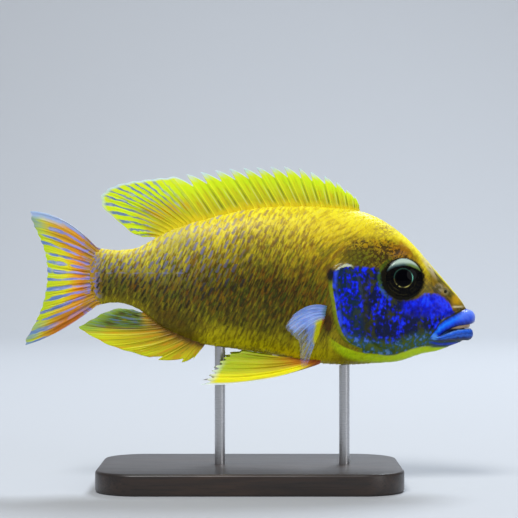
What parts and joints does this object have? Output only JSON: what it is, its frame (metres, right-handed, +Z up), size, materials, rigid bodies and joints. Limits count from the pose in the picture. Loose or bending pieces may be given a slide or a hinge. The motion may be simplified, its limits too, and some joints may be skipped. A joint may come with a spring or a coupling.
{
  "type": "cichlid fish model",
  "caption": "Life-size still model of a male peacock cichlid, deep-bodied with a high spiny back fin and thick lips, held level on rods above a flat display base.",
  "frame": {"origin": "on the floor, under the base's middle and under the middle of the fish's length", "axes": "+X forward to the snout, +Z up, so the fish's left side is at +Y"},
  "size_m": [0.1292, 0.052, 0.0911],
  "materials": {
    "skin": "golden scaled skin with a soft wet sheen",
    "face": "vivid blue blotches over dark olive",
    "lips": "bright blue, softly glossy",
    "fins": "lemon to orange-yellow, ribbed with rays",
    "clear_fin": "pale, thin and half clear",
    "eyes": "dark iris and pupil under a clear dome",
    "base": "dark stained hardwood under satin lacquer",
    "rods": "fine brushed"
  },
  "bodies": {
    "root": {"head": "skin", "lower_jaw": "skin", "torso": "skin", "tail_stem": "skin", "gill_cover_left": "face", "gill_cover_right": "face", "upper_lip": "lips", "lower_lip": "lips", "eye_left": "eyes", "eye_right": "eyes", "dorsal_fin": "fins", "tail_fin": "fins", "anal_fin": "fins", "pelvic_fin_left": "fins", "pelvic_fin_right": "fins", "pectoral_fin_left": "clear_fin", "pectoral_fin_right": "clear_fin", "stand_base": "base", "stand_rod_front": "rods", "stand_rod_rear": "rods"}
  },
  "joints": []
}
